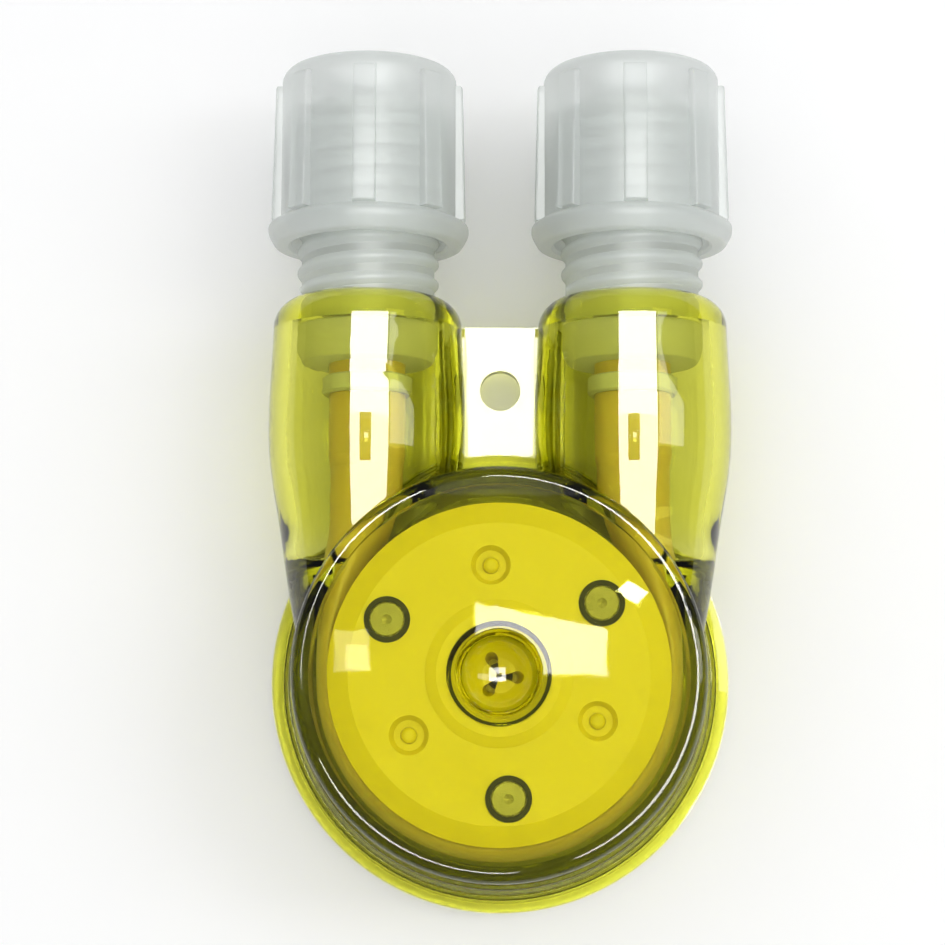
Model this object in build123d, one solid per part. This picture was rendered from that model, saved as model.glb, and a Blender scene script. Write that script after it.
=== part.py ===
from build123d import *
import os
from math import cos, radians, sin

# Peristaltic pump head: clear housing, three-roller rotor, oval-worked pump tube and two threaded
# hose connectors. Millimetres, +Z out of the front face, +Y towards the connectors, origin on the
# rotor axis at the back mounting face.

# ---- shared clearances ------------------------------------------------------------------------
RUN = 0.05            # radial running clearance
SLIP = 0.03           # radial slip fit inside one body
GAP = 0.30            # free gap between parts that must never touch
LAP = 0.1             # overrun of cutting and joining solids

# ---- rotor ------------------------------------------------------------------------------------
ROLLERS = 3
PIN_CIRCLE_R, PIN_PHASE = 15.9, 34.4
ROLLER_R, ROLLER_END_GAP = 4.3, 0.25
SWEEP_R = PIN_CIRCLE_R + ROLLER_R
DISC_EDGE = 1.8                       # disc rim beyond the rollers' sweep
DISC_R = SWEEP_R + DISC_EDGE
DISC_ROUND = 0.4
RIM_W, RIM_FALL = 2.7, 0.8             # sloped rim of the front disc
REAR_Z, DISC_T, DISC_SPACE = 4.2, 2.5, 15.0
REAR_TOP = REAR_Z + DISC_T
FRONT_DISC_Z = REAR_TOP + DISC_SPACE
FRONT_DISC_TOP = FRONT_DISC_Z + DISC_T
COLLAR_W, COLLAR_FOOT, COLLAR_H = 1.3, 2.7, 0.5
POST_CIRCLE_R, POST_PHASE = 13.9, 94.4
POST_R, TENON_R, TENON_SET = 3.0, 1.05, 0.25
DIMPLE_R, DIMPLE_D, DIMPLE_SLOPE = 2.55, 1.0, 0.6
PIN_R, BUSH_WALL = 2.25, 0.67
BUSH_R = PIN_R + SLIP + BUSH_WALL
BUSH_PROUD, PIN_PROUD = 0.15, 0.25    # bushes and pin ends stand proud of the discs
KNURLS, KNURL_R, KNURL_L = 14, 0.24, 0.6

# ---- rotor hub and shaft drive ----------------------------------------------------------------
HUB_R, HUB_BACK_Z = 7.0, 0.1
SHAFT_BORE_R, SHAFT_BORE_L = 3.2, 13.0
SHAFT_BORE_TOP = HUB_BACK_Z + SHAFT_BORE_L
DRIVE_SLOT_W, DRIVE_SLOT_L, DRIVE_SLOT_D = 2.1, 11.0, 2.5
FINGERS, FINGER_RIM = 3, 1.2
LEAF_R, LEAF_REACH = 1.15, 3.3         # leaf-shaped slot between two snap fingers
THROAT_R = 0.6

# ---- housing chamber --------------------------------------------------------------------------
TUBE_WALL = 1.4
TUBE_NIP = 1.3                        # free gap inside the worked tube, between its two walls
RACE_R = SWEEP_R + 2 * TUBE_WALL + TUBE_NIP
FRONT_WALL, BACK_GAP = 2.5, 1.2
COVER_T = REAR_Z - BACK_GAP
CAVITY_TOP = FRONT_DISC_TOP + COLLAR_H + GAP
FRONT_Z = CAVITY_TOP + FRONT_WALL
FRONT_EDGE = 1.5
WALL_FRONT, WALL_BACK = 2.2, 3.1      # chamber wall, drafted towards the front
WALL_R_FRONT, WALL_R_BACK = RACE_R + WALL_FRONT, RACE_R + WALL_BACK
COVER_LIP, COVER_PLAY, FLANGE_RIM = 1.6, 0.2, 1.8
COVER_R = WALL_R_BACK + COVER_LIP
REBATE_R = COVER_R + COVER_PLAY
FLANGE_R, FLANGE_T = REBATE_R + FLANGE_RIM, 3.2
FLANK_H, FLANK_SAG = 5.2, 0.22        # hollow sweep from flange to wall
TONGUE_LAND, TONGUE_W, TONGUE_H, TONGUE_PLAY = 2.9, 1.0, 0.6, 0.2
TONGUE_IN = RACE_R + TONGUE_LAND
TONGUE_OUT = TONGUE_IN + TONGUE_W
MOTOR_BOSS_R, MOTOR_BOSS_D = 10.5, 0.8
BOSS_R, BOSS_L, BOSS_CHAMFER = 6.7, 4.8, 0.5
BOSS_END_Z = CAVITY_TOP - BOSS_L
BOWL_R, BOWL_FLOOR = 5.6, 1.8
BOWL_Z = BOSS_END_Z + BOWL_FLOOR
HUB_TOP_Z = BOSS_END_Z - 0.4

# ---- ports and pump tube ----------------------------------------------------------------------
PORT_X, PORT_Z = 17.7, (REAR_TOP + FRONT_DISC_Z) / 2
PORT_TOP_Y, PORT_LIP = 50.5, 4.0
PORT_LEDGE_Y = PORT_TOP_Y - PORT_LIP
PORT_SHOULDER = 4.0
PORT_WALL = 2.3
PORT_LOW_Y, PORT_LOW_R = 2.0, 8.4
PORT_FORM = [(6.0, 9.6), (12.5, 10.7), (18.5, 11.6), (25.0, 12.7), (32.0, 13.1),
             (40.0, 12.8)]            # (rise above the port foot, outer radius) of the swelling barrel
PORT_TOP_R = 12.6
TUBE_R = 4.8
TUBE_RACE_R = (RACE_R + SWEEP_R) / 2
TUBE_OVAL_A = (RACE_R - SWEEP_R) / 2 - GAP      # radial semi-axis of the worked oval
TUBE_OVAL_B = 7.0                               # axial semi-axis of the worked oval
CHANNEL_PLAY = GAP + 0.15
OVAL_END_Y, TUBE_BLEND = 1.5, 24.5
ROUND_START_Y = OVAL_END_Y + TUBE_BLEND
CHANNEL_END_Y, CHANNEL_LAP = 16.0, 2.0
STRETCH_L = 1.6

# ---- connectors, nuts and hose grips ----------------------------------------------------------
THREAD_R, THREAD_ROOT_R, PITCH, TURNS = 9.5, 8.9, 2.8, 8
THREAD_START_Y = PORT_TOP_Y + 0.5
THREAD_LEAD = 1.6
CONN_TOP_Y = THREAD_START_Y + TURNS * PITCH + THREAD_LEAD
NECK_R = THREAD_ROOT_R
SNAP_R, SNAP_LOW_R, SNAP_L, SNAP_FLAT = 9.4, 8.7, 5.0, 3.2
SNAP_LOW_Y = PORT_LEDGE_Y - SNAP_L
SPIGOT_R, SPIGOT_L, BARBS = 3.65, 12.3, 4
SPIGOT_END_Y = SNAP_LOW_Y - SPIGOT_L
BARB_H, SPIGOT_LAND = 0.4, 3.0
WATERWAY_R = 2.6
HOSE_R = 4.9
HOSE_SOCKET_L, HOSE_LEAD = 13.0, 0.6
HOSE_STOP_Y = CONN_TOP_Y - HOSE_SOCKET_L
HOSE_RING_W, HOSE_RING_T, HOSE_RING_DROP = 2.4, 0.87, 2.9
NUT_GAP, NUT_END_WALL = 7.2, 4.0      # thread left showing below the nut, and the nut's end wall
GRIP_SPACE = 3.0                      # room for the grip ring between connector mouth and nut seat
NUT_LOW_Y = PORT_TOP_Y + NUT_GAP
NUT_SEAT_Y = CONN_TOP_Y + GRIP_SPACE
NUT_TOP_Y = NUT_SEAT_Y + NUT_END_WALL
NUT_R, NUT_RIBS, NUT_RIB_W, NUT_RIB_DROP = 11.8, 8, 3.0, 1.2
NUT_RIB_TOP_H, NUT_RIB_LOW_H = 0.85, 1.35       # ribs deepen towards the collar
NUT_COLLAR_H, NUT_SKIRT_H, NUT_COLLAR_W = 1.7, 1.7, 1.0
NUT_SKIRT_IN, NUT_SHOULDER = 0.95, 0.9
NUT_EDGE = 1.8
THREAD_PLAY = GAP
NUT_GROOVE = 0.7
FERRULE_R, FERRULE_PLAY = 8.2, 0.15

# ---- web between the ports --------------------------------------------------------------------
WEB_Z, WEB_T, WEB_DROP, WEB_INSET = 1.3, 1.8, 1.6, 2.4
WEB_LOW_Y = 24.0
WEB_TOP_Y = PORT_TOP_Y - WEB_DROP
LATCH_Y, LATCH_R, LATCH_RIM_W, LATCH_RIM_H = 40.0, 2.8, 0.5, 0.35
PAD_W, PAD_LOW_Y, PAD_H, PAD_RISE = 5.3, 31.0, 0.35, 4.0
CHEEK_T, CHEEK_SET = 1.2, 0.15        # straight cheek below each port, facing the web
CHEEK_DROP, CHEEK_ROUND = 3.4, 1.5


# ---- helpers ----------------------------------------------------------------------------------
def turned(points):
    """Solid of revolution about Z from (radius, z) corners."""
    face = make_face(Polyline(*points, close=True))
    return revolve(Plane.XZ * face, Axis.Z)


def port_turned(points, x=PORT_X):
    """Solid of revolution about a port axis from (radius, y) corners."""
    place = Plane(origin=(x, 0, PORT_Z))
    face = make_face(Polyline(*points, close=True))
    return revolve(place * face, Axis((x, 0, PORT_Z), (0, 1, 0)))


def ring(r_in, r_out, z_low, z_high):
    """Plain ring about Z."""
    return turned([(r_in, z_low), (r_out, z_low), (r_out, z_high), (r_in, z_high)])


def at_angle(shape, radius, angle):
    """Shape moved onto a bolt circle about Z."""
    return Pos(radius * cos(radians(angle)), radius * sin(radians(angle)), 0) * shape


def spread(count, phase):
    """Equal angles round the rotor."""
    return [phase + i * 360 / count for i in range(count)]


def rod(radius, z_low, z_high):
    """Upright cylinder between two heights."""
    return Pos(0, 0, z_low) * Cylinder(radius, z_high - z_low,
                                       align=(Align.CENTER, Align.CENTER, Align.MIN))


# ---- housing ----------------------------------------------------------------------------------
def chamber_body():
    """Round chamber with its back flange, swept flank and rounded front edge."""
    low, high = (FLANGE_R, FLANGE_T), (WALL_R_BACK, FLANGE_T + FLANK_H)
    dx, dz = high[0] - low[0], high[1] - low[1]
    middle = (low[0] + dx / 2 + dz * -FLANK_SAG, low[1] + dz / 2 + dx * FLANK_SAG)
    e, k = FRONT_EDGE, FRONT_EDGE * (1 - cos(radians(45)))
    outline = Polyline((0, 0), (FLANGE_R, 0), low) + ThreePointArc(low, middle, high)
    outline += Line(high, (WALL_R_FRONT, FRONT_Z - e))
    outline += ThreePointArc((WALL_R_FRONT, FRONT_Z - e), (WALL_R_FRONT - k, FRONT_Z - k),
                             (WALL_R_FRONT - e, FRONT_Z))
    outline += Polyline((WALL_R_FRONT - e, FRONT_Z), (0, FRONT_Z), (0, 0))
    return revolve(Plane.XZ * make_face(outline), Axis.Z)


def port_form(inset, low_y, high_y, high_r):
    """Port barrel as a turned solid, drawn in by an inset all along its swelling form."""
    form = [(PORT_LOW_R, PORT_LOW_Y)] + [(r, PORT_LOW_Y + rise) for rise, r in PORT_FORM]
    pts = [(r - inset, y) for r, y in form if low_y < y < high_y]
    low = (PORT_LOW_R - inset, low_y)
    curve = Spline(low, *pts, (high_r, high_y))
    rest = Polyline((high_r, high_y), (0, high_y), (0, low_y), low)
    place = Plane(origin=(PORT_X, 0, PORT_Z))
    return revolve(place * make_face(curve + rest), Axis((PORT_X, 0, PORT_Z), (0, 1, 0)))


def port_outside():
    """Outer port barrel with its round shoulder."""
    body = port_form(0.0, PORT_LOW_Y, PORT_TOP_Y, PORT_TOP_R)
    rim = body.edges().sort_by(Axis.Y)[-1]
    return fillet(rim, PORT_SHOULDER)


def port_bore():
    """Inside of a port: swelling bore, ledge and neck."""
    bore = port_form(PORT_WALL, CHANNEL_END_Y - CHANNEL_LAP, PORT_LEDGE_Y, PORT_TOP_R - PORT_WALL)
    neck_r, low, high = NECK_R + RUN, PORT_LEDGE_Y - LAP, PORT_TOP_Y + LAP
    return bore + port_turned([(0, low), (neck_r, low), (neck_r, high), (0, high)])


def tube_section(y, grow):
    """Oval section of the pump tube on its way from the race to a port."""
    t = min(max((y - OVAL_END_Y) / (ROUND_START_Y - OVAL_END_Y), 0.0), 1.0)
    s = t * t * (3 - 2 * t)
    x = TUBE_RACE_R + s * (PORT_X - TUBE_RACE_R)
    a = TUBE_OVAL_A + s * (TUBE_R - TUBE_OVAL_A) + grow
    b = TUBE_OVAL_B + s * (TUBE_R - TUBE_OVAL_B) + grow
    plane = Plane(origin=(x, y, PORT_Z), x_dir=(1, 0, 0), z_dir=(0, 1, 0))
    return plane * Ellipse(a, b)


def tube_run(grow, y_to, steps=8):
    """Loft along the tube from the race tangent up to y_to."""
    ys = [y_to * i / steps for i in range(steps + 1)]
    return loft([tube_section(y, grow) for y in ys])


def web():
    """Thin web between the ports with its latch hole rim and a shallow arched pad."""
    width, height = 2 * (PORT_X - WEB_INSET), WEB_TOP_Y - WEB_LOW_Y
    plate = Pos(0, WEB_LOW_Y + height / 2, WEB_Z + WEB_T / 2) * Box(width, height, WEB_T)
    rim = Pos(0, LATCH_Y, 0) * rod(LATCH_R + LATCH_RIM_W, WEB_Z, WEB_Z + WEB_T + LATCH_RIM_H)
    arch = Rectangle(PAD_W, PAD_RISE) + Pos(0, PAD_RISE / 2, 0) * Circle(PAD_W / 2)
    pad = extrude(Plane((0, PAD_LOW_Y + PAD_RISE / 2, WEB_Z + WEB_T)) * arch, PAD_H)
    return plate + rim + pad


def cheek():
    """Straight wall under a port's inner side, from the web up to the port's widest line."""
    top_y, x = PORT_TOP_Y - CHEEK_DROP, PORT_X - max(r for _, r in PORT_FORM) + CHEEK_SET
    wall = Pos(x, WEB_LOW_Y, WEB_Z) * Box(CHEEK_T, top_y - WEB_LOW_Y, PORT_Z - WEB_Z - 1,
                                          align=(Align.MIN, Align.MIN, Align.MIN))
    return fillet(wall.edges().filter_by(Axis.X).sort_by(Axis.Y)[-1:], CHEEK_ROUND)


def race_cavity():
    """Roller chamber left open at the back, standing clear round the front bearing cup."""
    low, c = COVER_T - LAP, BOSS_CHAMFER
    return turned([(0, low), (RACE_R, low), (RACE_R, CAVITY_TOP), (BOSS_R, CAVITY_TOP),
                   (BOSS_R, BOSS_END_Z + c), (BOSS_R - c, BOSS_END_Z), (0, BOSS_END_Z)])


def front_bowl():
    """Spherical bowl sunk into the front face behind the bearing cup."""
    depth = FRONT_Z - BOWL_Z
    radius = (BOWL_R ** 2 + depth ** 2) / (2 * depth)
    return Pos(0, 0, BOWL_Z + radius) * Sphere(radius)


def housing():
    """Clear moulded body: chamber, two ports, web, race and front bearing cup."""
    port = port_outside()
    body = chamber_body() + port + mirror(port, Plane.YZ) + web() + cheek() + mirror(cheek(), Plane.YZ)
    body -= Pos(0, LATCH_Y, 0) * rod(LATCH_R, -LAP, FRONT_Z)
    body -= race_cavity()
    body -= rod(REBATE_R, -LAP, COVER_T)
    body -= ring(TONGUE_IN - TONGUE_PLAY, TONGUE_OUT + TONGUE_PLAY, COVER_T - LAP, COVER_T + TONGUE_H + GAP)
    body -= front_bowl()
    channel = tube_run(CHANNEL_PLAY, CHANNEL_END_Y)
    bore = port_bore()
    for cut in (channel, mirror(channel, Plane.YZ), bore, mirror(bore, Plane.YZ)):
        body -= cut
    return body


def back_cover():
    """Clear back cover with its tongue, bearing hole and motor locating recess."""
    plate = rod(COVER_R, 0, COVER_T) + ring(TONGUE_IN, TONGUE_OUT, COVER_T, COVER_T + TONGUE_H)
    plate -= rod(HUB_R + RUN, -LAP, COVER_T + LAP)
    plate -= rod(MOTOR_BOSS_R, -LAP, MOTOR_BOSS_D)
    return plate


# ---- rotor ------------------------------------------------------------------------------------
def disc(z_low):
    """Rotor disc with rounded rims."""
    body = rod(DISC_R, z_low, z_low + DISC_T)
    return fillet(body.edges().group_by(Axis.Z)[-1] + body.edges().group_by(Axis.Z)[0], DISC_ROUND)


def tie_post():
    """Post from the rear disc with a round-headed tenon for staking into the front disc."""
    tenon = rod(TENON_R, FRONT_DISC_Z - LAP, FRONT_DISC_TOP - TENON_SET)
    tenon = fillet(tenon.edges().group_by(Axis.Z)[-1], TENON_R * 0.6)
    return rod(POST_R, REAR_TOP - LAP, FRONT_DISC_Z) + tenon


def collet_funnel():
    """Flared mouth between the hub's snap fingers, down to the throat."""
    rim = HUB_R - FINGER_RIM
    return turned([(0, SHAFT_BORE_TOP - LAP), (THROAT_R, SHAFT_BORE_TOP - LAP), (THROAT_R, HUB_TOP_Z - 3.4),
                   (rim * 0.55, HUB_TOP_Z - 2.4), (rim * 0.86, HUB_TOP_Z - 0.9), (rim, HUB_TOP_Z + LAP),
                   (0, HUB_TOP_Z + LAP)])


def finger_slot():
    """Leaf-shaped slot from the hub's centre line outwards, open down to the shaft bore."""
    leaf = make_face(Polyline((0, 0), (LEAF_REACH, LEAF_R), (LEAF_REACH, -LEAF_R), close=True))
    leaf += Pos(LEAF_REACH, 0) * Circle(LEAF_R)
    depth = HUB_TOP_Z - SHAFT_BORE_TOP + 2 * LAP
    return extrude(Plane((0, 0, SHAFT_BORE_TOP - LAP)) * leaf, depth)


def rotor_rear_plate():
    """Rear disc with hub, shaft bore, snap fingers and the three tie posts."""
    body = disc(REAR_Z) + rod(HUB_R, HUB_BACK_Z, HUB_TOP_Z)
    post = tie_post()
    for a in spread(ROLLERS, POST_PHASE):
        body += at_angle(post, POST_CIRCLE_R, a)
    body -= rod(SHAFT_BORE_R, HUB_BACK_Z - LAP, SHAFT_BORE_TOP)
    body -= Pos(0, 0, HUB_BACK_Z + DRIVE_SLOT_D / 2) * Box(DRIVE_SLOT_L, DRIVE_SLOT_W, DRIVE_SLOT_D)
    body -= collet_funnel()
    for a in spread(FINGERS, POST_PHASE + 20):
        body -= Rot(0, 0, a) * finger_slot()
    for a in spread(ROLLERS, PIN_PHASE):
        body -= at_angle(rod(BUSH_R + SLIP, REAR_Z - LAP, REAR_TOP + LAP), PIN_CIRCLE_R, a)
    return body


def rotor_front_plate():
    """Front disc with its raised collar, staking dimples and bush holes."""
    top = FRONT_DISC_TOP
    bore = BOSS_R + RUN
    body = disc(FRONT_DISC_Z)
    body += turned([(bore, FRONT_DISC_Z + LAP), (bore + COLLAR_FOOT, top - LAP), (bore + COLLAR_FOOT, top + LAP),
                    (bore + COLLAR_W, top + COLLAR_H), (bore, top + COLLAR_H)])
    body -= rod(bore, FRONT_DISC_Z - LAP, top + COLLAR_H + LAP)
    body -= turned([(DISC_R - RIM_W, top), (DISC_R + LAP, top - RIM_FALL), (DISC_R + LAP, top + LAP),
                    (DISC_R - RIM_W, top + LAP)])
    dish = turned([(0, top - DIMPLE_D), (DIMPLE_R - DIMPLE_SLOPE, top - DIMPLE_D), (DIMPLE_R, top),
                   (DIMPLE_R, top + LAP), (0, top + LAP)])
    for a in spread(ROLLERS, POST_PHASE):
        body -= at_angle(rod(TENON_R + SLIP, FRONT_DISC_Z - LAP, top), POST_CIRCLE_R, a)
        body -= at_angle(dish, POST_CIRCLE_R, a)
    for a in spread(ROLLERS, PIN_PHASE):
        body -= at_angle(rod(BUSH_R + SLIP, FRONT_DISC_Z - LAP, top + LAP), PIN_CIRCLE_R, a)
    return body


def roller(angle):
    """Plain roller with rounded ends."""
    low, high = REAR_TOP + ROLLER_END_GAP, FRONT_DISC_Z - ROLLER_END_GAP
    body = rod(ROLLER_R, low, high) - rod(PIN_R + RUN, low - LAP, high + LAP)
    outer = body.edges().filter_by(GeomType.CIRCLE).sort_by(SortBy.RADIUS)[-2:]
    return at_angle(fillet(outer, 0.5), PIN_CIRCLE_R, angle)


def roller_pin(angle):
    """Steel pin with knurled, chamfered ends and a centre drilling at the front."""
    back, front = REAR_Z - PIN_PROUD, FRONT_DISC_TOP + PIN_PROUD
    body = rod(PIN_R, back, front)
    body = chamfer(body.edges().group_by(Axis.Z)[-1] + body.edges().group_by(Axis.Z)[0], 0.2)
    for a in spread(KNURLS, 0):
        body -= at_angle(rod(KNURL_R, front - KNURL_L, front + LAP), PIN_R, a)
        body -= at_angle(rod(KNURL_R, back - LAP, back + KNURL_L), PIN_R, a)
    body -= turned([(0, front - 0.35), (PIN_R / 3, front + 0.05), (0, front + 0.05)])
    return at_angle(body, PIN_CIRCLE_R, angle)


def bush(angle, z_low, z_high):
    """Black pin bush pressed into a rotor disc."""
    return at_angle(ring(PIN_R + SLIP, BUSH_R, z_low, z_high), PIN_CIRCLE_R, angle)


# ---- tube and connectors ----------------------------------------------------------------------
def tube_solid(grow, top_y):
    """Pump tube skin grown inwards or outwards, from one port round the race to the other."""
    oval = Pos(TUBE_RACE_R, PORT_Z) * Ellipse(TUBE_OVAL_A + grow, TUBE_OVAL_B + grow)
    turn = revolve(Plane.XZ * oval, Axis.Z, revolution_arc=-180)
    r, wide = TUBE_R + grow, SPIGOT_R + RUN + TUBE_WALL + grow
    stretched = SPIGOT_END_Y - RUN
    end = port_turned([(0, ROUND_START_Y), (r, ROUND_START_Y), (r, stretched - STRETCH_L), (wide, stretched),
                       (wide, top_y), (0, top_y)])
    arm = tube_run(grow, ROUND_START_Y) + end
    return turn + arm + mirror(arm, Plane.YZ)


def pump_tube():
    """Hose: round in the ports, pressed to its worked oval round the race."""
    return tube_solid(0.0, SNAP_LOW_Y) - tube_solid(-TUBE_WALL, SNAP_LOW_Y + LAP)


def ridges(start, turns, root, crest):
    """Corners of an annular thread form, one ridge to each pitch."""
    shape = [(root, 0.0), (root, 0.30), (crest, 0.55), (crest, 0.75)]
    return [(r, start + (i + part) * PITCH) for i in range(turns) for r, part in shape]


def connector():
    """Threaded connector with snap shoulder, barbed spigot and hose socket."""
    core = SPIGOT_R - BARB_H
    pts = [(WATERWAY_R, SPIGOT_END_Y)]
    step = (SPIGOT_L - SPIGOT_LAND) / BARBS
    for i in range(BARBS):
        y = SPIGOT_END_Y + i * step
        pts += [(core, y), (SPIGOT_R, y + 0.80 * step), (core, y + 0.84 * step)]
    pts += [(core, SNAP_LOW_Y), (SNAP_LOW_R, SNAP_LOW_Y), (SNAP_R, PORT_LEDGE_Y - SNAP_FLAT),
            (SNAP_R, PORT_LEDGE_Y), (NECK_R, PORT_LEDGE_Y)]
    pts += ridges(THREAD_START_Y, TURNS, THREAD_ROOT_R, THREAD_R)
    end = THREAD_START_Y + TURNS * PITCH
    pts += [(THREAD_ROOT_R, end), (THREAD_ROOT_R, end + THREAD_LEAD / 2), (THREAD_ROOT_R - 0.5, CONN_TOP_Y),
            (HOSE_R + HOSE_LEAD, CONN_TOP_Y), (HOSE_R, CONN_TOP_Y - 1.0), (HOSE_R, HOSE_STOP_Y),
            (WATERWAY_R, HOSE_STOP_Y)]
    return port_turned(pts)


def nut_barrel():
    """Outside of a nut: chamfered collar, shoulder, rounded barrel and deepening grip ribs."""
    collar_r, collar_low = NUT_R + NUT_COLLAR_H, NUT_LOW_Y + NUT_SKIRT_H
    collar_top, k = collar_low + NUT_COLLAR_W, NUT_EDGE * 0.3
    shoulder = collar_top + NUT_SHOULDER
    body = port_turned([(0, NUT_LOW_Y), (collar_r - NUT_SKIRT_IN, NUT_LOW_Y), (collar_r, collar_low),
                        (collar_r, collar_top), (NUT_R, shoulder), (NUT_R, NUT_TOP_Y - NUT_EDGE),
                        (NUT_R - k, NUT_TOP_Y - k), (NUT_R - NUT_EDGE, NUT_TOP_Y), (0, NUT_TOP_Y)])
    rib_top = NUT_TOP_Y - NUT_RIB_DROP
    envelope = port_turned([(0, collar_low), (NUT_R + NUT_RIB_LOW_H, collar_low),
                            (NUT_R + NUT_RIB_TOP_H, rib_top - NUT_EDGE), (NUT_R - k, rib_top), (0, rib_top)])
    bar = Box(NUT_RIB_W, rib_top - collar_low, collar_r, align=(Align.CENTER, Align.MIN, Align.MIN))
    for angle in spread(NUT_RIBS, 0):
        body += (Pos(PORT_X, collar_low, PORT_Z) * Rot(0, angle, 0) * bar) & envelope
    return body


def nut():
    """Compression nut, open over the connector's thread, with a coned seat and a hose hole."""
    clear, groove = THREAD_R + THREAD_PLAY, THREAD_R + THREAD_PLAY + NUT_GROOVE
    low = NUT_LOW_Y - LAP
    first = NUT_LOW_Y + 2.0
    turns = int((NUT_SEAT_Y - GRIP_SPACE - first) / PITCH)
    seat_r = FERRULE_R + GAP
    inside = [(0, low), (clear + 0.6, low), (clear, NUT_LOW_Y + 0.6)]
    inside += ridges(first, turns, clear, groove)
    inside += [(clear, first + turns * PITCH), (clear, NUT_SEAT_Y - 2.4), (seat_r, NUT_SEAT_Y - 2.2),
               (seat_r - 2.0, NUT_SEAT_Y), (0, NUT_SEAT_Y)]
    mouth = NUT_TOP_Y - HOSE_LEAD
    hole = port_turned([(0, NUT_SEAT_Y - LAP), (HOSE_R, NUT_SEAT_Y - LAP), (HOSE_R, mouth),
                        (HOSE_R + HOSE_LEAD, NUT_TOP_Y), (HOSE_R + HOSE_LEAD, NUT_TOP_Y + LAP), (0, NUT_TOP_Y + LAP)])
    return nut_barrel() - port_turned(inside) - hole


def ferrule():
    """Grip cone lying between a connector mouth and its nut."""
    low, high, bore = CONN_TOP_Y, NUT_SEAT_Y - FERRULE_PLAY, HOSE_R + FERRULE_PLAY
    return port_turned([(bore, low), (FERRULE_R - 0.2, low), (FERRULE_R, low + 0.5),
                        (FERRULE_R - 0.1, NUT_SEAT_Y - 2.0), (FERRULE_R - 2.0, high), (bore, high)])


def hose_ring():
    """Clip ring round the tube end on the spigot."""
    r = SPIGOT_R + RUN + TUBE_WALL + SLIP
    high = SNAP_LOW_Y - HOSE_RING_DROP + HOSE_RING_W / 2
    low, outer = high - HOSE_RING_W, r + HOSE_RING_T
    return port_turned([(r, low), (outer - 0.3, low), (outer, low + 0.3), (outer, high - 0.3),
                        (outer - 0.3, high), (r, high)])


# ---- assembly ---------------------------------------------------------------------------------
def both_sides(name, shape):
    """Outlet node at +X and its mirrored inlet node at -X."""
    return {"outlet_" + name: shape, "inlet_" + name: mirror(shape, Plane.YZ)}


def all_parts():
    """Every node of the pump head by name."""
    parts = {"housing": housing(), "back_cover": back_cover(), "rotor_rear_plate": rotor_rear_plate(),
             "rotor_front_plate": rotor_front_plate(), "pump_tube": pump_tube()}
    for i, a in enumerate(spread(ROLLERS, PIN_PHASE), start=1):
        parts[f"roller_{i}"] = roller(a)
        parts[f"roller_pin_{i}"] = roller_pin(a)
        parts[f"rear_bush_{i}"] = bush(a, REAR_Z, REAR_TOP)
        parts[f"front_bush_{i}"] = bush(a, FRONT_DISC_Z, FRONT_DISC_TOP + BUSH_PROUD)
    for name, maker in (("connector", connector), ("nut", nut), ("ferrule", ferrule), ("hose_ring", hose_ring)):
        parts.update(both_sides(name, maker()))
    return parts


def main():
    os.makedirs("parts", exist_ok=True)
    for name, shape in all_parts().items():
        export_step(shape, f"parts/{name}.step")
        box = shape.bounding_box()
        print(name, len(shape.solids()), round(shape.volume, 1), [round(v, 2) for v in (*box.min, *box.max)])


main()
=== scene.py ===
"""Looks of a clear-housed peristaltic pump head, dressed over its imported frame."""
import logging
from dataclasses import dataclass
from enum import Enum
from math import cos, pi, radians, sin

import bmesh
import bpy
from mathutils import Matrix, Vector


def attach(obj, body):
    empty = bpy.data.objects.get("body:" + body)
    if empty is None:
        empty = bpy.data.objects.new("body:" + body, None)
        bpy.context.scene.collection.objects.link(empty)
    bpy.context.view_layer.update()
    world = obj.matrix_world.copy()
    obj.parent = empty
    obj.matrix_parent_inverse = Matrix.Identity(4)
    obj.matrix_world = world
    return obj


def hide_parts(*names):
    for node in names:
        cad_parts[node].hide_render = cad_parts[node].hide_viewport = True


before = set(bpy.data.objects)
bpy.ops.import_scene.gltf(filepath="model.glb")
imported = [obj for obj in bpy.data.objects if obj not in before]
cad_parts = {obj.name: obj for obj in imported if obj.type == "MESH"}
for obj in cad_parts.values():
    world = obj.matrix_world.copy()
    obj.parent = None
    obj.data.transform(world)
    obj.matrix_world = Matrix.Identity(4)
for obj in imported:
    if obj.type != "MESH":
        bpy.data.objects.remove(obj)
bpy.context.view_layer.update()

Outline = list[tuple[float, float]]
MM = 0.001
BUMP_DEPTH = 0.0002     # depth of the bump's full height, in metres
BLUE_KEPT = 0.97        # share of blue kept in the light let through
LOG = logging.getLogger("pump_head")


class Side(Enum):
    """The two hose ports, by the sign of their place across the head."""

    INLET = -1
    OUTLET = 1

    @property
    def label(self) -> str:
        """Node name prefix of this side."""
        return self.name.lower()


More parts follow.
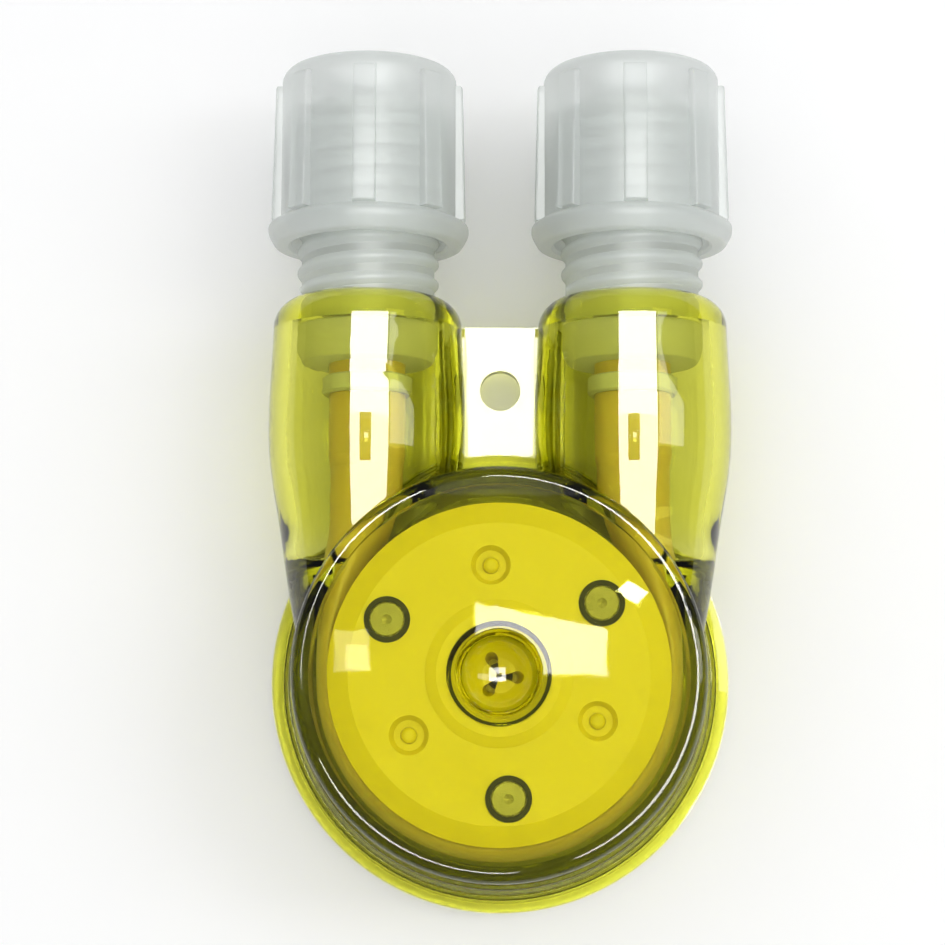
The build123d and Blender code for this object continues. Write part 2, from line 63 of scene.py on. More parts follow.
# ---- shader groups ----------------------------------------------------------------------------
class NodeBoard:
    """A node tree with short calls for adding and joining nodes."""

    def __init__(self, tree: bpy.types.NodeTree) -> None:
        """Keep the tree and clear it.

        Args:
            tree: Material or group tree to fill.
        """
        self.tree = tree
        tree.nodes.clear()

    def add(self, kind: str, **values: object) -> bpy.types.Node:
        """Add a node and set its properties or its input sockets.

        Args:
            kind: Node type without its ShaderNode prefix, or a full type name.
            **values: Property names, or input names with spaces written as underscores.

        Returns:
            The new node.
        """
        node = self.tree.nodes.new(kind if kind.startswith("Node") else f"ShaderNode{kind}")
        for key, value in values.items():
            if hasattr(node, key):
                setattr(node, key, value)
            else:
                node.inputs[key.replace("_", " ")].default_value = value
        return node

    def join(self, source: bpy.types.NodeSocket, target: bpy.types.NodeSocket) -> None:
        """Link one socket to another."""
        self.tree.links.new(source, target)

    def noise(self, vector: bpy.types.NodeSocket, scale: float, detail: float = 4.0,
              rough: float = 0.55) -> bpy.types.NodeSocket:
        """Add a noise texture.

        Args:
            vector: Coordinates to read.
            scale: Pattern scale per metre.
            detail: Octaves.
            rough: Roughness of the octaves.

        Returns:
            The noise value socket.
        """
        node = self.add("TexNoise", Scale=scale, Detail=detail, Roughness=rough)
        self.join(vector, node.inputs["Vector"])
        return node.outputs["Fac"]

    def ramp(self, value: bpy.types.NodeSocket, low: float, high: float, out_low: float = 0.0,
             out_high: float = 1.0) -> bpy.types.NodeSocket:
        """Map a value linearly between two ranges, clamped.

        Args:
            value: Socket to map.
            low: Input low end.
            high: Input high end.
            out_low: Output at the low end.
            out_high: Output at the high end.

        Returns:
            The mapped socket.
        """
        node = self.add("MapRange", clamp=True)
        node.inputs["From Min"].default_value = low
        node.inputs["From Max"].default_value = high
        node.inputs["To Min"].default_value = out_low
        node.inputs["To Max"].default_value = out_high
        self.join(value, node.inputs["Value"])
        return node.outputs["Result"]

    def mix(self, factor: bpy.types.NodeSocket, first: object, second: object) -> bpy.types.NodeSocket:
        """Mix two colours or colour sockets.

        Args:
            factor: Mixing factor socket.
            first: Colour or socket at factor 0.
            second: Colour or socket at factor 1.

        Returns:
            The mixed colour socket.
        """
        node = self.add("Mix", data_type="RGBA")
        self.join(factor, node.inputs["Factor"])
        for name, value in (("A", first), ("B", second)):
            socket = [s for s in node.inputs if s.name == name and s.type == "RGBA"][0]
            if isinstance(value, bpy.types.NodeSocket):
                self.join(value, socket)
            else:
                socket.default_value = (*value, 1.0)
        return [s for s in node.outputs if s.type == "RGBA"][0]


class SurfaceEffects:
    """Shader node groups that several finishes share, each built once."""

    @staticmethod
    def _group(name: str, inputs: list[tuple[str, str, float]], outputs: list[tuple[str, str]]) -> tuple:
        """Start a group with its sockets.

        Args:
            name: Group name.
            inputs: Socket name, socket type and default value.
            outputs: Socket name and socket type.

        Returns:
            The group, its board, its input node and its output node.
        """
        group = bpy.data.node_groups.new(name, "ShaderNodeTree")
        for label, kind, value in inputs:
            socket = group.interface.new_socket(label, in_out="INPUT", socket_type=kind)
            socket.default_value = value
        for label, kind in outputs:
            group.interface.new_socket(label, in_out="OUTPUT", socket_type=kind)
        board = NodeBoard(group)
        return group, board, board.add("NodeGroupInput"), board.add("NodeGroupOutput")

    @classmethod
    def moulded(cls) -> bpy.types.NodeTree:
        """Moulded plastic skin: fine tool texture, slow flow waves and roughness drift.

        Returns:
            The group.
        """
        name = "moulded_skin"
        if name in bpy.data.node_groups:
            return bpy.data.node_groups[name]
        number = "NodeSocketFloat"
        group, board, enter, leave = cls._group(
            name, [("Roughness", number, 0.3), ("Drift", number, 0.1), ("Grain", number, 0.3),
                   ("Wave", number, 0.2)],
            [("Roughness", number), ("Height", number)])
        place = board.add("TexCoord").outputs["Object"]
        drift = board.ramp(board.noise(place, 90.0, 3.0), 0.35, 0.65, -1.0, 1.0)
        add = board.add("Math", operation="MULTIPLY_ADD")
        board.join(drift, add.inputs[0])
        board.join(enter.outputs["Drift"], add.inputs[1])
        board.join(enter.outputs["Roughness"], add.inputs[2])
        board.join(add.outputs[0], leave.inputs["Roughness"])
        fine = board.add("Math", operation="MULTIPLY")
        board.join(board.noise(place, 5200.0, 2.0), fine.inputs[0])
        board.join(enter.outputs["Grain"], fine.inputs[1])
        both = board.add("Math", operation="MULTIPLY_ADD")
        board.join(board.noise(place, 160.0, 2.0), both.inputs[0])
        board.join(enter.outputs["Wave"], both.inputs[1])
        board.join(fine.outputs[0], both.inputs[2])
        board.join(both.outputs[0], leave.inputs["Height"])
        return group

    @classmethod
    def handling(cls) -> bpy.types.NodeTree:
        """Handling marks: sparse smudges and specks as one mask.

        Returns:
            The group.
        """
        name = "handling_marks"
        if name in bpy.data.node_groups:
            return bpy.data.node_groups[name]
        number = "NodeSocketFloat"
        group, board, enter, leave = cls._group(
            name, [("Smudge", number, 0.5), ("Speck", number, 0.5)], [("Mask", number)])
        place = board.add("TexCoord").outputs["Object"]
        smudge = board.ramp(board.noise(place, 240.0, 5.0, 0.7), 0.56, 0.72)
        speck = board.ramp(board.noise(place, 1500.0, 2.0, 0.5), 0.70, 0.78)
        first = board.add("Math", operation="MULTIPLY")
        board.join(smudge, first.inputs[0])
        board.join(enter.outputs["Smudge"], first.inputs[1])
        total = board.add("Math", operation="MULTIPLY_ADD", use_clamp=True)
        board.join(speck, total.inputs[0])
        board.join(enter.outputs["Speck"], total.inputs[1])
        board.join(first.outputs[0], total.inputs[2])
        board.join(total.outputs[0], leave.inputs["Mask"])
        return group


# ---- finishes ---------------------------------------------------------------------------------
@dataclass(frozen=True)
class Finish:
    """One named finish: plain shader values with a moulded skin and handling marks over them.

    Lengths are in metres. `absorb` and `density` tint what shines through a clear wall, `lets_light` is
    the share of light that a wall lets straight through, and `clear` the share of what lies behind that
    shows unbent.
    """

    name: str
    colour: tuple[float, float, float]
    marked: tuple[float, float, float]
    roughness: float = 0.35
    drift: float = 0.06
    grain: float = 0.3
    wave: float = 0.2
    bump: float = 0.12
    smudge: float = 0.3
    speck: float = 0.2
    metallic: float = 0.0
    transmission: float = 0.0
    ior: float = 1.48
    subsurface: float = 0.0
    scatter: tuple[float, float, float] = (0.004, 0.003, 0.001)
    absorb: tuple[float, float, float] = (1.0, 1.0, 1.0)
    density: float = 0.0
    lets_light: float = 0.0
    clear: float = 0.0

    def build(self) -> bpy.types.Material:
        """Make the material.

        Returns:
            The material, ready to be put on pieces.
        """
        material = bpy.data.materials.new(self.name)
        material.use_nodes = True
        board = NodeBoard(material.node_tree)
        shader = board.add("BsdfPrincipled", Metallic=self.metallic, IOR=self.ior)
        shader.inputs["Transmission Weight"].default_value = self.transmission
        shader.inputs["Subsurface Weight"].default_value = self.subsurface
        shader.inputs["Subsurface Radius"].default_value = self.scatter
        shader.inputs["Subsurface Scale"].default_value = 1.0
        skin = board.add("Group")
        skin.node_tree = SurfaceEffects.moulded()
        for key, value in (("Roughness", self.roughness), ("Drift", self.drift), ("Grain", self.grain),
                           ("Wave", self.wave)):
            skin.inputs[key].default_value = value
        marks = board.add("Group")
        marks.node_tree = SurfaceEffects.handling()
        marks.inputs["Smudge"].default_value = self.smudge
        marks.inputs["Speck"].default_value = self.speck
        board.join(board.mix(marks.outputs["Mask"], self.colour, self.marked), shader.inputs["Base Color"])
        board.join(skin.outputs["Roughness"], shader.inputs["Roughness"])
        bump = board.add("Bump", Strength=self.bump, Distance=BUMP_DEPTH)
        board.join(skin.outputs["Height"], bump.inputs["Height"])
        board.join(bump.outputs["Normal"], shader.inputs["Normal"])
        output = board.add("OutputMaterial")
        surface = shader.outputs["BSDF"]
        if self.clear:
            surface = self._thinned(board, surface)
        if self.lets_light:
            surface = self._lit_through(board, surface)
        board.join(surface, output.inputs["Surface"])
        if self.density:
            absorb = board.add("VolumeAbsorption", Density=self.density)
            absorb.inputs["Color"].default_value = (*self.absorb, 1.0)
            board.join(absorb.outputs["Volume"], output.inputs["Volume"])
        return material

    def _thinned(self, board: NodeBoard, surface: bpy.types.NodeSocket) -> bpy.types.NodeSocket:
        """Show a share of what lies behind a milky wall, unbent.

        Args:
            board: The material's board.
            surface: The shader to carry on from.

        Returns:
            The mixed shader socket.
        """
        behind = board.add("BsdfTransparent")
        mix = board.add("MixShader")
        mix.inputs[0].default_value = self.clear
        board.join(surface, mix.inputs[1])
        board.join(behind.outputs[0], mix.inputs[2])
        return mix.outputs[0]

    def _lit_through(self, board: NodeBoard, surface: bpy.types.NodeSocket) -> bpy.types.NodeSocket:
        """Let a share of the light pass straight through, so that what lies behind is lit.

        Args:
            board: The material's board.
            surface: The shader to carry on from.

        Returns:
            The mixed shader socket.
        """
        passing = board.add("BsdfTransparent")
        share = self.lets_light
        passing.inputs["Color"].default_value = (share, share, share * BLUE_KEPT, 1.0)
        mix = board.add("MixShader")
        board.join(board.add("LightPath").outputs["Is Shadow Ray"], mix.inputs[0])
        board.join(surface, mix.inputs[1])
        board.join(passing.outputs[0], mix.inputs[2])
        return mix.outputs[0]


CLEAR_AMBER = Finish(
    "clear_amber_moulding", (1.0, 1.0, 0.97), (0.97, 0.97, 0.93), roughness=0.012, drift=0.008,
    grain=0.0, wave=0.5, bump=0.04, smudge=0.08, speck=0.0, transmission=1.0, ior=1.50,
    absorb=(0.898, 0.900, 0.04), density=420.0, lets_light=0.42)
ROTOR_YELLOW = Finish(
    "rotor_yellow_moulding", (0.68, 0.57, 0.006), (0.55, 0.45, 0.006), roughness=0.42, smudge=0.35,
    speck=0.30, subsurface=0.12, scatter=(0.002, 0.0016, 0.0003))
MILKY = Finish(
    "milky_natural_moulding", (0.765, 0.80, 0.785), (0.73, 0.765, 0.75), roughness=0.37, drift=0.03,
    grain=0.1, bump=0.03, transmission=0.45, ior=1.38, smudge=0.1, speck=0.0, lets_light=0.55, clear=0.36)
GRIP = Finish(
    "grip_ring_moulding", (0.74, 0.77, 0.74), (0.68, 0.70, 0.66), roughness=0.4, transmission=0.3)
TUBE_TAN = Finish(
    "pump_tube_tan", (0.60, 0.47, 0.13), (0.50, 0.39, 0.10), roughness=0.34, subsurface=0.25,
    scatter=(0.003, 0.002, 0.0008))
ROLLER_WHITE = Finish(
    "roller_turned_white", (0.86, 0.84, 0.74), (0.74, 0.72, 0.62), roughness=0.3)
PIN_STEEL = Finish(
    "pin_ground_steel", (0.62, 0.60, 0.36), (0.22, 0.21, 0.12), roughness=0.16, metallic=0.6,
    grain=0.8, wave=0.6, bump=0.5, smudge=0.5)
BUSH_BLACK = Finish(
    "bush_black_plastic", (0.012, 0.012, 0.012), (0.05, 0.05, 0.045), roughness=0.4)


class Wardrobe:
    """Builds each finish once and puts it on pieces and frame nodes."""

    def __init__(self) -> None:
        """Start with no materials made."""
        self.made: dict[str, bpy.types.Material] = {}

    def material(self, finish: Finish) -> bpy.types.Material:
        """The material of a finish, built on first use."""
        if finish.name not in self.made:
            self.made[finish.name] = finish.build()
        return self.made[finish.name]

    def dress_node(self, node: str, finish: Finish) -> None:
        """Give a frame node its finish.

        Args:
            node: Node name.
            finish: Finish to put on it.
        """
        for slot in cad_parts[node].material_slots:
            slot.material = self.material(finish)
        LOG.info("dressed %s in %s", node, finish.name)


# ---- stage ------------------------------------------------------------------------------------
@dataclass(frozen=True)
class Panel:
    """A glowing flat panel that faces down; a glare panel shows only in reflections. Places are in metres."""

    name: str
    corners: tuple[tuple[float, float], ...]
    strength: float
    glare: bool = False
    in_front: bool = False

    @property
    def height(self) -> float:
        """Height over the table; what hangs in front of another panel is a little lower."""
        return 0.799 if self.glare or self.in_front else 0.80

    @classmethod
    def window(cls, name: str, across: tuple[float, float], along: tuple[float, float], strength: float,
               glare: bool = False) -> "Panel":
        """A rectangular panel.

        Args:
            name: Panel name.
            across: West and east edge.
            along: South and north edge.
            strength: Emission strength.
            glare: True for a panel that only shows in reflections.

        Returns:
            The panel.
        """
        (west, east), (south, north) = across, along
        return cls(name, ((west, south), (east, south), (east, north), (west, north)), strength, glare)


PANELS = (
    Panel.window("overhead_window", (-0.250, 0.400), (0.118, 0.300), 0.8),
    Panel.window("overhead_glare", (-0.250, 0.400), (0.142, 0.300), 22.0, glare=True),
    Panel.window("left_glare", (-0.250, -0.090), (-0.050, 0.142), 16.0, glare=True),
    Panel.window("right_glare", (0.090, 0.400), (-0.050, 0.142), 16.0, glare=True),
    Panel.window("near_glare", (-0.250, 0.400), (-0.220, -0.050), 16.0, glare=True),
    Panel.window("side_window", (0.430, 1.300), (0.020, 0.300), 4.5),
    Panel("lamp", ((-0.0142, 0.0396), (0.0428, 0.0397), (0.0428, 0.0593), (-0.0142, 0.0705)), 11.0),
    Panel("small_lamp", ((0.0473, 0.0759), (0.0560, 0.0702), (0.0613, 0.0754), (0.0526, 0.0802)), 24.0),
    Panel("left_lamp", ((-0.0759, 0.0408), (-0.0593, 0.0408), (-0.0608, 0.0595), (-0.0761, 0.0595)), 3.0),
    Panel("left_lamp_core", ((-0.0708, 0.0408), (-0.0600, 0.0408), (-0.0607, 0.0521), (-0.0708, 0.0521)), 6.0,
          in_front=True),
)


@dataclass
class Studio:
    """Pale table, soft daylight and the viewing camera, in metres and degrees."""

    table_size: float = 3.0
    rest_gap: float = 0.0002
    camera_place: tuple[float, float, float] = (0.0015, -0.0165, 0.3437)
    camera_turn: tuple[float, float, float] = (7.56, 0.87, 0.15)
    lens: float = 95.24
    sensor: float = 36.0
    nearest: float = 0.01
    paper: tuple[float, float, float] = (0.96, 0.96, 0.965)
    paper_light: tuple[float, float, float] = (0.98, 0.98, 0.98)
    horizon: tuple[float, float, float] = (0.55, 0.56, 0.57)
    zenith: tuple[float, float, float] = (1.0, 1.0, 1.0)
    sky: float = 1.02
    mirrored_sky: float = 0.18

    def build(self) -> None:
        """Make the table, the lights, the surroundings and the camera."""
        self._table()
        self._sky()
        for panel in PANELS:
            self._panel(panel)
        self._camera()

    def _table(self) -> None:
        """White paper table under the part."""
        mesh = bpy.data.meshes.new("table")
        bm = bmesh.new()
        bmesh.ops.create_grid(bm, x_segments=1, y_segments=1, size=self.table_size / 2)
        bmesh.ops.translate(bm, verts=bm.verts, vec=(0.0, 0.0, -self.rest_gap))
        bm.to_mesh(mesh)
        bm.free()
        table = bpy.data.objects.new("table", mesh)
        bpy.context.scene.collection.objects.link(table)
        material = bpy.data.materials.new("white_paper")
        material.use_nodes = True
        board = NodeBoard(material.node_tree)
        shader = board.add("BsdfPrincipled", Roughness=0.9)
        place = board.add("TexCoord").outputs["Object"]
        board.join(board.mix(board.noise(place, 60.0, 3.0), self.paper, self.paper_light),
                   shader.inputs["Base Color"])
        output = board.add("OutputMaterial")
        board.join(shader.outputs["BSDF"], output.inputs["Surface"])
        mesh.materials.append(material)

    def _sky(self) -> None:
        """Even pale surroundings, darker towards the horizon and much dimmer in reflections."""
        world = bpy.data.worlds.new("pale_room")
        world.use_nodes = True
        bpy.context.scene.world = world
        board = NodeBoard(world.node_tree)
        place = board.add("TexCoord").outputs["Generated"]
        split = board.add("SeparateXYZ")
        board.join(place, split.inputs[0])
        height = board.ramp(split.outputs["Z"], -0.1, 0.9)
        back = board.add("Background")
        dim = board.add("Math", operation="MULTIPLY_ADD")
        board.join(board.add("LightPath").outputs["Is Glossy Ray"], dim.inputs[0])
        dim.inputs[1].default_value = self.mirrored_sky - self.sky
        dim.inputs[2].default_value = self.sky
        board.join(dim.outputs[0], back.inputs["Strength"])
        board.join(board.mix(height, self.horizon, self.zenith), back.inputs["Color"])
        output = board.add("OutputWorld")
        board.join(back.outputs[0], output.inputs["Surface"])

    def _panel(self, panel: Panel) -> None:
        """Hang one glowing panel.

        Args:
            panel: The panel to hang.
        """
        mesh = bpy.data.meshes.new(panel.name)
        bm = bmesh.new()
        face = bm.faces.new([bm.verts.new((x, y, panel.height)) for x, y in panel.corners])
        if face.normal.z > 0:
            face.normal_flip()
        bm.to_mesh(mesh)
        bm.free()
        material = bpy.data.materials.new(f"{panel.name}_glow")
        material.use_nodes = True
        board = NodeBoard(material.node_tree)
        glow = board.add("Emission", Strength=panel.strength)
        board.join(glow.outputs[0], board.add("OutputMaterial").inputs["Surface"])
        mesh.materials.append(material)
        hung = bpy.data.objects.new(panel.name, mesh)
        bpy.context.scene.collection.objects.link(hung)
        hung.visible_diffuse = not panel.glare
        hung.visible_shadow = not panel.glare
        hung.visible_transmission = not panel.glare

    def _camera(self) -> None:
        """Camera over the part, tipped a little towards the round end."""
        data = bpy.data.cameras.new("camera")
        data.lens = self.lens
        data.sensor_width = self.sensor
        data.clip_start = self.nearest
        camera = bpy.data.objects.new("camera", data)
        camera.location = self.camera_place
        camera.rotation_euler = [radians(a) for a in self.camera_turn]
        bpy.context.scene.collection.objects.link(camera)
        bpy.context.scene.camera = camera
        bpy.context.scene.view_settings.view_transform = "Standard"


# ---- bench tools ------------------------------------------------------------------------------
class Bench:
    """A mesh being made about the Z axis in millimetres, then set in place in metres."""

    def __init__(self) -> None:
        """Start an empty mesh."""
        self.bm = bmesh.new()

    def outline(self, corners: Outline, turn: float = 0.0) -> list[bmesh.types.BMVert | bmesh.types.BMEdge]:
        """Draw a closed outline in the half plane beside the axis.

        Args:
            corners: (radius, height) of each corner, in order.
            turn: Angle of the half plane about the axis, in degrees.

        Returns:
            The vertices and edges of the outline.
        """
        across, along = cos(radians(turn)), sin(radians(turn))
        verts = [self.bm.verts.new((radius * across, radius * along, height)) for radius, height in corners]
        edges = [self.bm.edges.new((vert, verts[(i + 1) % len(verts)])) for i, vert in enumerate(verts)]
        return verts + edges

    def lathe(self, corners: Outline, steps: int = 96) -> None:
        """Turn a closed outline all the way round.

        Args:
            corners: (radius, height) of each corner.
            steps: Facets round the turn.
        """
        bmesh.ops.spin(self.bm, geom=self.outline(corners), cent=(0, 0, 0), axis=(0, 0, 1), dvec=(0, 0, 0),
                       angle=2 * pi, steps=steps, use_merge=True, use_normal_flip=False, use_duplicate=False)
        self.close()

    def helix(self, corners: Outline, pitch: float, turns: float, turn: float, steps: int = 64) -> None:
        """Wind a closed outline up a right-handed helix and cap its ends.

        Args:
            corners: (radius, height) of each corner of the ridge.
            pitch: Rise to a turn.
            turns: Number of turns.
            turn: Where the ridge starts, in degrees.
            steps: Facets to a turn.
        """
        count = round(turns * steps)
        start = self.outline(corners, turn)
        first = [e for e in start if isinstance(e, bmesh.types.BMEdge)]
        made = bmesh.ops.spin(self.bm, geom=start, cent=(0, 0, 0), axis=(0, 0, 1), dvec=(0, 0, pitch / steps),
                              angle=2 * pi * count / steps, steps=count, use_merge=False,
                              use_normal_flip=False, use_duplicate=False)
        last = [e for e in made["geom_last"] if isinstance(e, bmesh.types.BMEdge)]
        for ends in (first, last):
            bmesh.ops.contextual_create(self.bm, geom=ends)
        self.close()

    def close(self) -> None:
        """Merge doubles and turn all faces outwards."""
        bmesh.ops.remove_doubles(self.bm, verts=self.bm.verts, dist=1e-4)
        bmesh.ops.recalc_face_normals(self.bm, faces=self.bm.faces)

    def rims(self, radius: float, height: float, slack: float = 0.02) -> list[bmesh.types.BMEdge]:
        """Ring edges at one radius and height.

        Args:
            radius: Ring radius.
            height: Ring height.
            slack: How far off a vertex may lie.

        Returns:
            The edges found.
        """
        return [e for e in self.bm.edges if all(
            abs(v.co.z - height) < slack and abs(v.co.xy.length - radius) < slack for v in e.verts)]

    def soften(self, edges: list[bmesh.types.BMEdge], width: float, segments: int = 3) -> None:
        """Round some edges.

        Args:
            edges: Edges to round.
            width: Width of the rounding.
            segments: Facets across it.
        """
        bmesh.ops.bevel(self.bm, geom=edges, offset=width, offset_type="OFFSET", segments=segments,
                        profile=0.5, affect="EDGES", material=-1, clamp_overlap=True)

    def finish(self, name: str, place: Matrix, body: str, smooth_under: float = 35.0) -> bpy.types.Object:
        """Set the mesh in place and let it ride on its body.

        Args:
            name: Piece name.
            place: Where the bench origin goes, in metres, with the millimetres scaled down after it.
            body: Body that carries the piece.
            smooth_under: Edges that bend less than this are shaded smooth, in degrees.

        Returns:
            The finished object.
        """
        bmesh.ops.transform(self.bm, matrix=place @ Matrix.Scale(MM, 4), verts=self.bm.verts)
        bmesh.ops.recalc_face_normals(self.bm, faces=self.bm.faces)
        for face in self.bm.faces:
            face.smooth = True
        for edge in self.bm.edges:
            edge.smooth = edge.is_manifold and edge.calc_face_angle(0.0) < radians(smooth_under)
        mesh = bpy.data.meshes.new(name)
        self.bm.to_mesh(mesh)
        self.bm.free()
        piece = bpy.data.objects.new(name, mesh)
        bpy.context.scene.collection.objects.link(piece)
        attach(piece, body)
        LOG.info("made %s with %d faces on %s", name, len(mesh.polygons), body)
        return piece


# ---- the head ---------------------------------------------------------------------------------
@dataclass
class HoseThread:
    """The screw thread that a connector and its nut share, in millimetres."""

    pitch: float = 2.8
    root: float = 8.9
    crest: float = 9.5
    low: float = 51.3
    turns: float = 7.7
    start: float = 200.0
    sunk: float = 0.12
    foot_rise: float = 0.1
    crest_fall: float = 0.08
    foot_share: float = 0.36
    nut_play: float = 0.35
    nut_foot: float = 0.7
    nut_flat: float = 0.25

    def cut_on(self, bench: Bench) -> None:
        """Wind the connector's ridge, its foot sunk a little in the root."""
        half = self.pitch * self.foot_share
        flank = [(self.root - self.sunk, half), (self.root + self.foot_rise, half * 0.8),
                 (self.crest - self.crest_fall, half * 0.32)]
        below = [(radius, self.low - away) for radius, away in flank]
        above = [(radius, self.low + away) for radius, away in reversed(flank)]
        bench.helix(below + [(self.crest, self.low)] + above, self.pitch, self.turns, self.start)

    def cut_in(self, bench: Bench, bore: float, low: float, turns: float) -> None:
        """Wind the nut's inner ridge, half a turn out from the connector's.

        Args:
            bench: Bench to work on.
            bore: Bore that carries the ridge.
            low: Height of the first turn.
            turns: Number of turns.
        """
        rise = (low - self.low) / self.pitch
        tip, shoulder, sunk = self.crest + self.nut_play, self.crest + self.nut_play + 0.1, bore + self.sunk
        phase = self.start + 360.0 * (rise - int(rise)) + 180.0
        bench.helix([(sunk, low - self.nut_foot), (shoulder, low - self.nut_flat), (tip, low),
                     (shoulder, low + self.nut_flat), (sunk, low + self.nut_foot)], self.pitch, turns, phase)


@dataclass
class HosePort:
    """Threaded connector and compression nut of one port: radii, and heights along it, in millimetres."""

    side: Side
    wardrobe: Wardrobe
    thread: HoseThread
    across: float = 17.7
    height: float = 14.2
    # connector
    waterway: float = 2.6
    spigot_end: float = 29.2
    barbs: int = 4
    barb_land: float = 3.0
    barb_core: float = 3.25
    barb_tip: float = 3.65
    snap_low: float = 41.5
    snap_low_radius: float = 8.7
    snap_radius: float = 9.4
    snap_flat: float = 3.2
    ledge: float = 46.47
    snap_edge: float = 0.25
    top: float = 75.0
    top_edge: float = 0.6
    socket: float = 4.9
    socket_lead: float = 1.0
    socket_floor: float = 62.0
    # nut
    nut_low: float = 57.7
    nut_top: float = 82.0
    barrel: float = 11.8
    barrel_round: float = 1.9
    barrel_steps: int = 6
    collar: float = 13.48
    collar_lead: float = 0.95
    collar_low: float = 1.7
    collar_high: float = 2.7
    collar_edge: float = 0.35
    mouth_edge: float = 0.4
    bore: float = 10.4
    hole_play: float = 0.02
    hole_edge: float = 0.6
    seat: float = 78.0
    seat_radius: float = 6.5
    cone_radius: float = 8.5
    cone_depth: float = 2.2
    bore_depth: float = 2.4
    facets: int = 144
    ribs: int = 8
    rib_facets: int = 6
    rib_low: float = 61.3
    rib_top: float = 79.7
    rib_rise: float = 0.85
    rib_lean: float = 1.35
    rib_edge: float = 0.28
    nut_thread_lead: float = 2.0
    nut_thread_turns: float = 5.2

    def place(self) -> Matrix:
        """Where the bench axis goes: along the port, pointing away from the rotor."""
        x = self.side.value * self.across * MM
        return Matrix.Translation((x, 0.0, self.height * MM)) @ Matrix.Rotation(radians(-90), 4, "X")

    def build(self) -> None:
        """Make and dress the connector and the nut."""
        for piece, node in ((self._connector(), "connector"), (self._nut(), "nut")):
            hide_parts(f"{self.side.label}_{node}")
            piece.data.materials.append(self.wardrobe.material(MILKY))

    def _connector(self) -> bpy.types.Object:
        """Threaded connector: barbed spigot, snap shoulder, neck, wound thread and hose socket.

        Returns:
            The finished piece.
        """
        bench, root = Bench(), self.thread.root
        step = (self.snap_low - self.spigot_end - self.barb_land) / self.barbs
        corners = [(self.waterway, self.spigot_end)]
        for i in range(self.barbs):
            low = self.spigot_end + i * step
            corners += [(self.barb_core, low), (self.barb_tip, low + 0.80 * step),
                        (self.barb_core, low + 0.84 * step)]
        corners += [(self.barb_core, self.snap_low), (self.snap_low_radius, self.snap_low),
                    (self.snap_radius, self.ledge - self.snap_flat), (self.snap_radius, self.ledge),
                    (root, self.ledge), (root, self.top - self.top_edge), (root - self.top_edge, self.top),
                    (self.socket + self.top_edge, self.top), (self.socket, self.top - self.socket_lead),
                    (self.socket, self.socket_floor), (self.waterway, self.socket_floor)]
        bench.lathe(corners)
        bench.soften(bench.rims(self.snap_low_radius, self.snap_low)
                     + bench.rims(self.snap_radius, self.ledge), self.snap_edge)
        self.thread.cut_on(bench)
        return bench.finish(f"{self.side.label}_threaded_connector", self.place(), "pump_body")

    def _nut(self) -> bpy.types.Object:
        """Compression nut: chamfered collar, ribbed barrel, rounded top, seat and wound thread.

        Returns:
            The finished piece.
        """
        bench, low, top = Bench(), self.nut_low, self.nut_top
        hole, lead = self.socket + self.hole_play, self.collar - self.collar_lead
        corners = [(self.bore, low + self.mouth_edge), (self.bore + self.mouth_edge, low), (lead, low),
                   (self.collar, low + self.collar_low), (self.collar, low + self.collar_high),
                   (self.barrel, self.rib_low), (self.barrel, self.rib_top), (self.barrel, top),
                   (hole + self.hole_edge, top), (hole, top - self.hole_edge), (hole, self.seat),
                   (self.seat_radius, self.seat), (self.cone_radius, self.seat - self.cone_depth),
                   (self.bore, self.seat - self.bore_depth)]
        bench.lathe(corners, self.facets)
        bench.soften(bench.rims(self.barrel, top), self.barrel_round, self.barrel_steps)
        bench.soften(bench.rims(self.collar, low + self.collar_low) + bench.rims(lead, low)
                     + bench.rims(self.collar, low + self.collar_high), self.collar_edge)
        for i in range(self.ribs):
            self._rib(bench, 360.0 * i / self.ribs)
        self.thread.cut_in(bench, self.bore, low + self.nut_thread_lead, self.nut_thread_turns)
        return bench.finish(f"{self.side.label}_compression_nut", self.place(), f"{self.side.label}_nut_body")

    def _rib_faces(self, bench: Bench, out: Vector) -> list[bmesh.types.BMFace]:
        """Barrel faces that one rib rises from.

        Args:
            bench: Bench that holds the barrel.
            out: Direction of the rib from the axis.

        Returns:
            The faces.
        """
        slack, near, upright = 0.01, 0.05, 0.9
        reach = radians(360.0 / self.facets * self.rib_facets / 2 + 0.3)
        found = []
        for face in bench.bm.faces:
            middle = face.calc_center_median()
            if (self.rib_low - slack < middle.z < self.rib_top + slack
                    and abs(middle.xy.length - self.barrel) < near and face.normal.xy.length > upright
                    and middle.xy.angle(out.xy) < reach):
                found.append(face)
        return found

    def _rib(self, bench: Bench, angle: float) -> None:
        """Raise one grip rib from the barrel, deeper towards the collar.

        Args:
            bench: Bench that holds the barrel.
            angle: Where the rib stands, in degrees.
        """
        out = Vector((cos(radians(angle)), sin(radians(angle)), 0.0))
        faces = self._rib_faces(bench, out)
        raised = bmesh.ops.extrude_face_region(bench.bm, geom=faces)["geom"]
        bmesh.ops.delete(bench.bm, geom=faces, context="FACES_ONLY")
        verts = [v for v in raised if isinstance(v, bmesh.types.BMVert)]
        bmesh.ops.translate(bench.bm, verts=verts, vec=out * self.rib_rise)
        hinge = out * (self.barrel + self.rib_rise) + Vector((0, 0, self.rib_top))
        lean = Matrix.Rotation(radians(-self.rib_lean), 3, Vector((-out.y, out.x, 0.0)))
        bmesh.ops.rotate(bench.bm, verts=verts, cent=hinge, matrix=lean)
        inside = {f for f in raised if isinstance(f, bmesh.types.BMFace)}
        border = [e for e in bench.bm.edges if sum(f in inside for f in e.link_faces) == 1]
        bench.soften(border, self.rib_edge)


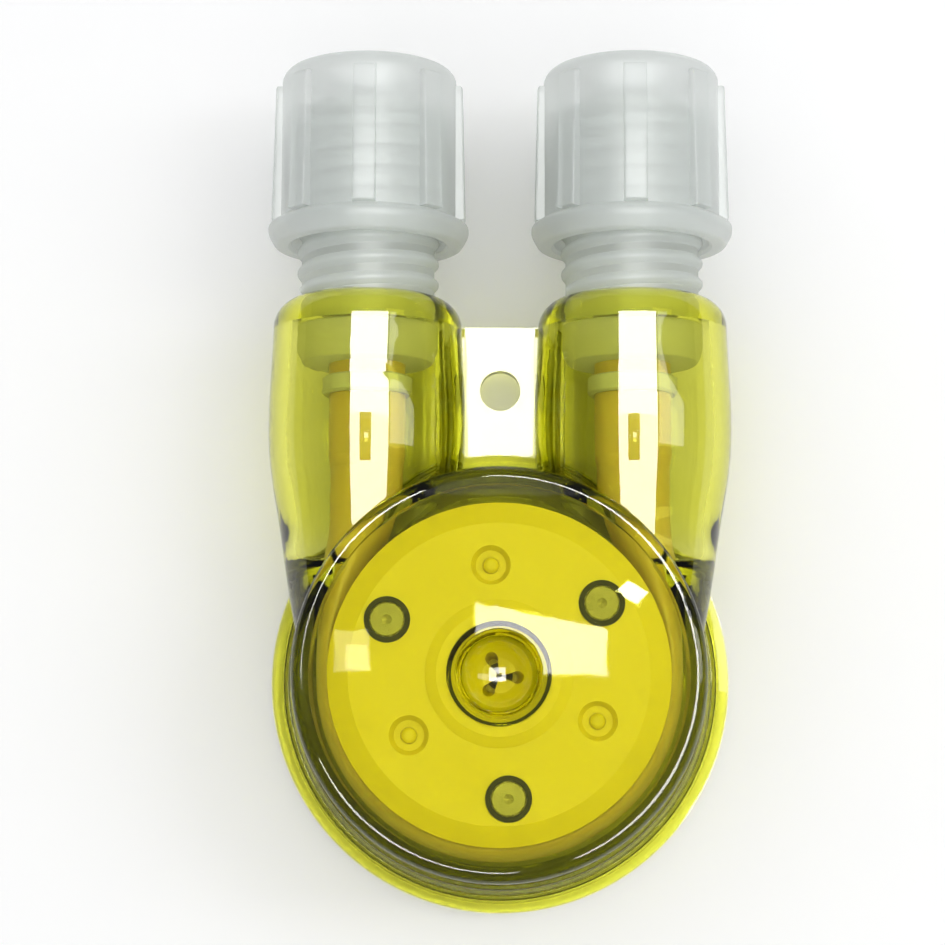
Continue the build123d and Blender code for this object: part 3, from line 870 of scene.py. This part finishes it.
@dataclass
class RearCover:
    """Clear back cover with tongue, hub hole and motor recess, a hair off the housing, in millimetres."""

    wardrobe: Wardrobe
    hub_hole: float = 7.05
    recess: float = 10.5
    recess_depth: float = 0.8
    rim: float = 28.95
    rim_edge: float = 0.3
    face: float = 2.94
    tongue_in: float = 27.25
    tongue_out: float = 28.15
    tongue_top: float = 3.58
    facets: int = 128

    def build(self) -> None:
        """Make and dress the cover."""
        bench = Bench()
        bench.lathe([(self.hub_hole, self.recess_depth), (self.recess, self.recess_depth), (self.recess, 0.0),
                     (self.rim - self.rim_edge, 0.0), (self.rim, self.rim_edge), (self.rim, self.face),
                     (self.tongue_out, self.face), (self.tongue_out, self.tongue_top),
                     (self.tongue_in, self.tongue_top), (self.tongue_in, self.face),
                     (self.hub_hole, self.face)], self.facets)
        cover = bench.finish("rear_cover_disc", Matrix.Identity(4), "pump_body")
        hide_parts("back_cover")
        cover.data.materials.append(self.wardrobe.material(CLEAR_AMBER))


@dataclass
class PumpHead:
    """Dresses the frame nodes that show as they are and builds the pieces that stand for the others."""

    wardrobe: Wardrobe
    rollers: int = 3

    def dress(self) -> None:
        """Put a finish on each frame node that shows."""
        plan = {"housing": CLEAR_AMBER, "rotor_rear_plate": ROTOR_YELLOW, "rotor_front_plate": ROTOR_YELLOW,
                "pump_tube": TUBE_TAN}
        for i in range(1, self.rollers + 1):
            plan.update({f"roller_{i}": ROLLER_WHITE, f"roller_pin_{i}": PIN_STEEL,
                         f"rear_bush_{i}": BUSH_BLACK, f"front_bush_{i}": BUSH_BLACK})
        for side in Side:
            plan.update({f"{side.label}_ferrule": GRIP, f"{side.label}_hose_ring": GRIP})
        for node, finish in plan.items():
            self.wardrobe.dress_node(node, finish)

    def build(self) -> None:
        """Dress the nodes, then build the cover, connectors and nuts."""
        self.dress()
        RearCover(self.wardrobe).build()
        for side in Side:
            HosePort(side, self.wardrobe, HoseThread()).build()


def main() -> None:
    """Build the stage and dress the part."""
    logging.basicConfig(level=logging.INFO)
    wardrobe = Wardrobe()
    PumpHead(wardrobe).build()
    Studio().build()


if __name__ == "__main__":
    main()
